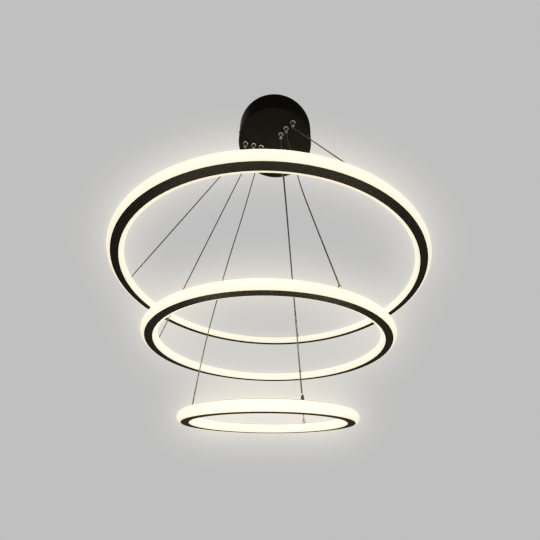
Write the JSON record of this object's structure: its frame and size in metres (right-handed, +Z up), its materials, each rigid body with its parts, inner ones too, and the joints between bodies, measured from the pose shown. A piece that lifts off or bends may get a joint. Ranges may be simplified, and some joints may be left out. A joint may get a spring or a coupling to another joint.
{
  "type": "led ring chandelier",
  "caption": "Ceiling chandelier of level LED rings stacked largest to smallest, each with outer and inner diffusers, hung on adjustable thin cables from a round canopy.",
  "frame": {"origin": "centre of the ceiling plane, on the top face of the ceiling bracket and level with the canopy rim", "axes": "+Z up into the ceiling, so the light hangs at -Z; +X and +Y along the two arms of the bracket; in the pictured view the camera looks along +Y and upwards"},
  "size_m": [0.7999, 0.8, 1.018],
  "materials": {
    "canopy_black": "fine matt black powder coat",
    "frame_black": "satin black anodised aluminium",
    "diffuser": "milky warm-white diffuser, lit",
    "chrome": "polished chrome plate",
    "cable_steel": "thin stranded steel with a clear jacket",
    "zinc_steel": "bright zinc plate",
    "spring_steel": "bright spring wire",
    "screw_black": "black plated screw",
    "driver_plastic": "white flame-retardant plastic",
    "circuit_board": "green circuit board with components",
    "terminal_plastic": "white terminal plastic",
    "led_strip": "light-emitting strip, lit",
    "lead_brown": "brown insulated wire",
    "lead_white": "white insulated wire"
  },
  "bodies": {
    "canopy": {"ceiling_bracket": "zinc_steel", "canopy_shell": "canopy_black", "canopy_side_screws": "screw_black", "driver_case": "driver_plastic", "driver_cover": "driver_plastic", "driver_board": "circuit_board", "driver_screws": "zinc_steel", "terminal_block": "terminal_plastic", "earth_screw": "zinc_steel", "mains_leads": "lead_brown", "output_leads": "lead_white", "gripper_bodies": "chrome", "gripper_nuts": "zinc_steel", "gripper_springs": "spring_steel", "cable_tails": "cable_steel", "large_cable_1": "cable_steel", "large_cable_2": "cable_steel", "large_cable_3": "cable_steel", "medium_cable_1": "cable_steel", "medium_cable_2": "cable_steel", "medium_cable_3": "cable_steel", "small_cable_1": "cable_steel", "small_cable_2": "cable_steel", "small_cable_3": "cable_steel"},
    "large_ring": {"large_frame": "frame_black", "large_outer_diffuser": "diffuser", "large_inner_diffuser": "diffuser", "large_led_strips": "led_strip", "large_splice_block": "zinc_steel", "large_splice_screws": "zinc_steel", "large_cable_cones": "chrome", "large_cone_nuts": "zinc_steel", "large_feed_leads": "lead_white"},
    "large_plunger_1": {"large_plunger_1": "chrome"},
    "large_plunger_2": {"large_plunger_2": "chrome"},
    "large_plunger_3": {"large_plunger_3": "chrome"},
    "medium_ring": {"medium_frame": "frame_black", "medium_outer_diffuser": "diffuser", "medium_inner_diffuser": "diffuser", "medium_led_strips": "led_strip", "medium_splice_block": "zinc_steel", "medium_splice_screws": "zinc_steel", "medium_cable_cones": "chrome", "medium_cone_nuts": "zinc_steel", "medium_feed_leads": "lead_white"},
    "medium_plunger_1": {"medium_plunger_1": "chrome"},
    "medium_plunger_2": {"medium_plunger_2": "chrome"},
    "medium_plunger_3": {"medium_plunger_3": "chrome"},
    "small_ring": {"small_frame": "frame_black", "small_outer_diffuser": "diffuser", "small_inner_diffuser": "diffuser", "small_led_strips": "led_strip", "small_splice_block": "zinc_steel", "small_splice_screws": "zinc_steel", "small_cable_cones": "chrome", "small_cone_nuts": "zinc_steel", "small_feed_leads": "lead_white"},
    "small_plunger_1": {"small_plunger_1": "chrome"},
    "small_plunger_2": {"small_plunger_2": "chrome"},
    "small_plunger_3": {"small_plunger_3": "chrome"}
  },
  "joints": [
    {"name": "large_height", "type": "slide", "parent": "canopy", "child": "large_ring", "axis": [0, 0, 1], "range_m": [0, 0.3], "deforming": ["large_cable_1", "large_cable_2", "large_cable_3"]},
    {"name": "medium_height", "type": "slide", "parent": "canopy", "child": "medium_ring", "axis": [0, 0, 1], "range_m": [0, 0.3], "deforming": ["medium_cable_1", "medium_cable_2", "medium_cable_3"]},
    {"name": "small_height", "type": "slide", "parent": "canopy", "child": "small_ring", "axis": [0, 0, 1], "range_m": [0, 0.3], "deforming": ["small_cable_1", "small_cable_2", "small_cable_3"]},
    {"name": "large_release_1", "type": "slide", "parent": "canopy", "child": "large_plunger_1", "axis": [0, 0, 1], "range_m": [0, 0.0015], "stiffness_N_per_m": 800, "deforming": ["gripper_springs"]},
    {"name": "large_release_2", "type": "slide", "parent": "canopy", "child": "large_plunger_2", "axis": [0, 0, 1], "range_m": [0, 0.0015], "stiffness_N_per_m": 800, "deforming": ["gripper_springs"]},
    {"name": "large_release_3", "type": "slide", "parent": "canopy", "child": "large_plunger_3", "axis": [0, 0, 1], "range_m": [0, 0.0015], "stiffness_N_per_m": 800, "deforming": ["gripper_springs"]},
    {"name": "medium_release_1", "type": "slide", "parent": "canopy", "child": "medium_plunger_1", "axis": [0, 0, 1], "range_m": [0, 0.0015], "stiffness_N_per_m": 800, "deforming": ["gripper_springs"]},
    {"name": "medium_release_2", "type": "slide", "parent": "canopy", "child": "medium_plunger_2", "axis": [0, 0, 1], "range_m": [0, 0.0015], "stiffness_N_per_m": 800, "deforming": ["gripper_springs"]},
    {"name": "medium_release_3", "type": "slide", "parent": "canopy", "child": "medium_plunger_3", "axis": [0, 0, 1], "range_m": [0, 0.0015], "stiffness_N_per_m": 800, "deforming": ["gripper_springs"]},
    {"name": "small_release_1", "type": "slide", "parent": "canopy", "child": "small_plunger_1", "axis": [0, 0, 1], "range_m": [0, 0.0015], "stiffness_N_per_m": 800, "deforming": ["gripper_springs"]},
    {"name": "small_release_2", "type": "slide", "parent": "canopy", "child": "small_plunger_2", "axis": [0, 0, 1], "range_m": [0, 0.0015], "stiffness_N_per_m": 800, "deforming": ["gripper_springs"]},
    {"name": "small_release_3", "type": "slide", "parent": "canopy", "child": "small_plunger_3", "axis": [0, 0, 1], "range_m": [0, 0.0015], "stiffness_N_per_m": 800, "deforming": ["gripper_springs"]}
  ]
}
